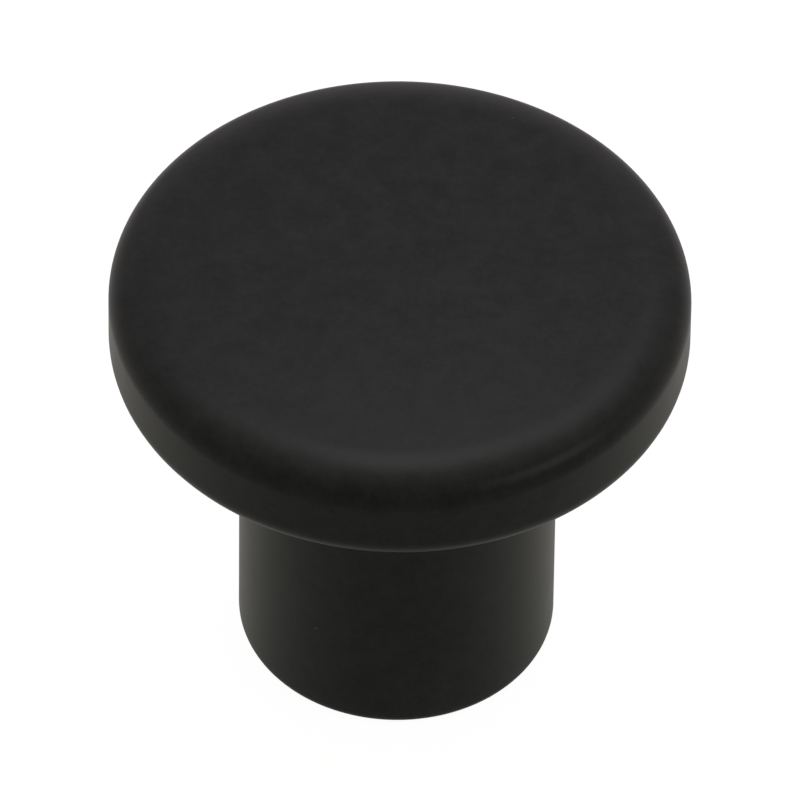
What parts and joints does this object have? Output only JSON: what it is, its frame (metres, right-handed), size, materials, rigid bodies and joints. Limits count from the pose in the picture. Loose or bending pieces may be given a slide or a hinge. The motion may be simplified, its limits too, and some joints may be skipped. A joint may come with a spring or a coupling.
{
  "type": "cabinet knob",
  "caption": "Matt black round cabinet knob: a gently crowned disc head on a straight round stem, with a tapped blind hole in the flat base for a screw from behind.",
  "frame": {"origin": "centre of the stem's flat end, where it meets the drawer front or door", "axes": "+Z along the screw's axis from the flat end to the crown of the head; the knob is round about it, so X and Y may point any way"},
  "size_m": [0.032, 0.032, 0.0277],
  "materials": {
    "black_paint": "matte"
  },
  "bodies": {
    "root": {"knob": "black_paint"}
  },
  "joints": []
}
